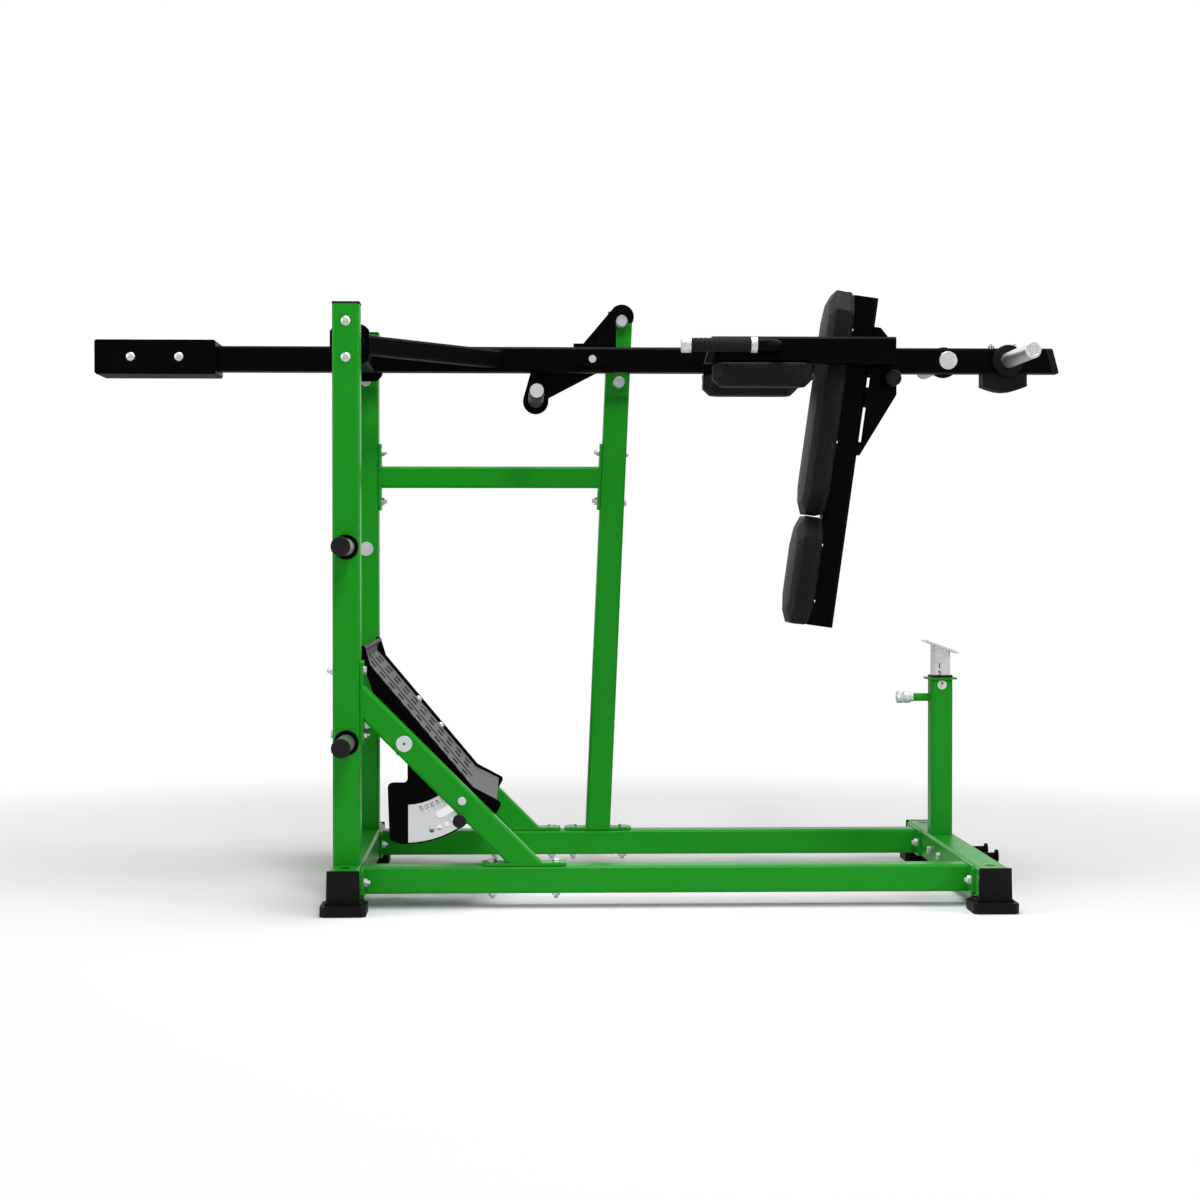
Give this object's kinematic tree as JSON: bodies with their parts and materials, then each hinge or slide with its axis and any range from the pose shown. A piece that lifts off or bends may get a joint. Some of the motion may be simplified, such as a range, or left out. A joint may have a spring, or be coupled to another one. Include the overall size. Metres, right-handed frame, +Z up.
{
  "type": "pendulum squat machine",
  "caption": "Plate-loaded pendulum squat machine: a counterweighted swing arm with back and shoulder pads on a bolted frame, with a tilting footplate, release lever and adjustable stop post.",
  "frame": {"origin": "centre of the machine's bounding box, on the floor plane under the rubber feet", "axes": "+X from the counterweight and footplate end to the weight horns and stop post end, +Y from the near side to the far side, where the swing arm and catch post are, +Z up"},
  "size_m": [3.0832, 1.4496, 1.8583],
  "materials": {
    "green_powder_coat": "gloss green powder coat on steel",
    "black_powder_coat": "gloss black powder coat on steel",
    "zinc_steel": "bright zinc-plated steel, satin",
    "grey_steel": "plated steel tube, satin",
    "tread_grey": "matte grey textured paint on steel sheet",
    "black_rubber": "matte moulded rubber",
    "black_plastic": "matte moulded plastic",
    "black_vinyl": "satin grained vinyl upholstery over foam on a board"
  },
  "bodies": {
    "frame": {"front_crossmember": "green_powder_coat", "rear_crossmember": "green_powder_coat", "near_base_rail": "green_powder_coat", "far_base_rail": "green_powder_coat", "front_near_foot": "black_rubber", "front_far_foot": "black_rubber", "rear_near_foot": "black_rubber", "rear_far_foot": "black_rubber", "near_upright": "green_powder_coat", "far_upright": "green_powder_coat", "near_brace": "green_powder_coat", "far_brace": "green_powder_coat", "catch_post": "green_powder_coat", "far_stretcher": "green_powder_coat", "stop_post": "green_powder_coat", "stop_post_liner": "black_plastic", "near_upper_peg": "grey_steel", "near_lower_peg": "grey_steel", "far_upper_peg": "grey_steel", "far_lower_peg": "grey_steel", "near_band_peg": "black_powder_coat", "far_band_peg": "black_powder_coat", "near_stub_shaft": "zinc_steel", "far_stub_shaft": "zinc_steel", "footplate_axle": "zinc_steel"},
    "arm": {"arm_tube": "black_powder_coat", "arm_end_cap": "black_rubber", "carrier_end_cap": "black_rubber", "counterweight": "black_powder_coat", "near_flange_bearing": "black_powder_coat", "far_flange_bearing": "black_powder_coat", "near_carrier": "black_powder_coat", "hinge_shaft": "zinc_steel", "near_shoulder_pad": "black_vinyl", "far_shoulder_pad": "black_vinyl", "near_handle_bar": "black_powder_coat", "far_handle_bar": "black_powder_coat", "near_grip": "black_rubber", "far_grip": "black_rubber", "near_weight_horn": "zinc_steel", "far_weight_horn": "zinc_steel", "near_horn_collar": "black_rubber", "far_horn_collar": "black_rubber", "arm_bumper": "black_rubber", "lever_bearing": "black_powder_coat", "lever_stop": "black_powder_coat"},
    "back_rest": {"back_post": "black_powder_coat", "upper_back_pad": "black_vinyl", "lower_back_pad": "black_vinyl"},
    "release_lever": {"hook_plate": "black_powder_coat", "lever_shaft": "zinc_steel", "lever_bar": "black_powder_coat"},
    "footplate": {"tread": "tread_grey", "near_side_plate": "black_powder_coat", "far_side_plate": "black_powder_coat", "angle_scale": "zinc_steel"},
    "stop_tube": {"stop_tube": "grey_steel"},
    "stop_pin": {"stop_pin": "zinc_steel"},
    "footplate_pin": {"footplate_pin": "black_plastic"},
    "back_rest_pin": {"back_rest_pin": "black_plastic"}
  },
  "joints": [
    {"name": "arm_swing", "type": "hinge", "parent": "frame", "child": "arm", "pos_m": [-0.70261, 0, 1.6555], "axis": [0, 1, 0], "range_deg": [-6, 21]},
    {"name": "back_rest_tilt", "type": "hinge", "parent": "arm", "child": "back_rest", "pos_m": [0.93339, 0.05, 1.659], "axis": [0, 1, 0], "range_deg": [-10, 5]},
    {"name": "release_lever_turn", "type": "hinge", "parent": "arm", "child": "release_lever", "pos_m": [0.03439, 0.245, 1.659], "axis": [0, -1, 0], "range_deg": [0, 30]},
    {"name": "footplate_tilt", "type": "hinge", "parent": "frame", "child": "footplate", "pos_m": [-0.53511, 0, 0.4805], "axis": [0, -1, 0], "range_deg": [0, 20]},
    {"name": "stop_height", "type": "slide", "parent": "frame", "child": "stop_tube", "axis": [0, 0, 1], "range_m": [-0.06, 0.06]},
    {"name": "stop_pin_pull", "type": "slide", "parent": "frame", "child": "stop_pin", "axis": [-1, 0, 0], "range_m": [0, 0.012], "stiffness_N_per_m": 800, "springref_m": -0.004},
    {"name": "footplate_pin_pull", "type": "slide", "parent": "frame", "child": "footplate_pin", "axis": [0, -1, 0], "range_m": [0, 0.012], "stiffness_N_per_m": 600, "springref_m": -0.004},
    {"name": "back_rest_pin_pull", "type": "slide", "parent": "arm", "child": "back_rest_pin", "axis": [0, -1, 0], "range_m": [0, 0.012], "stiffness_N_per_m": 600, "springref_m": -0.004}
  ]
}
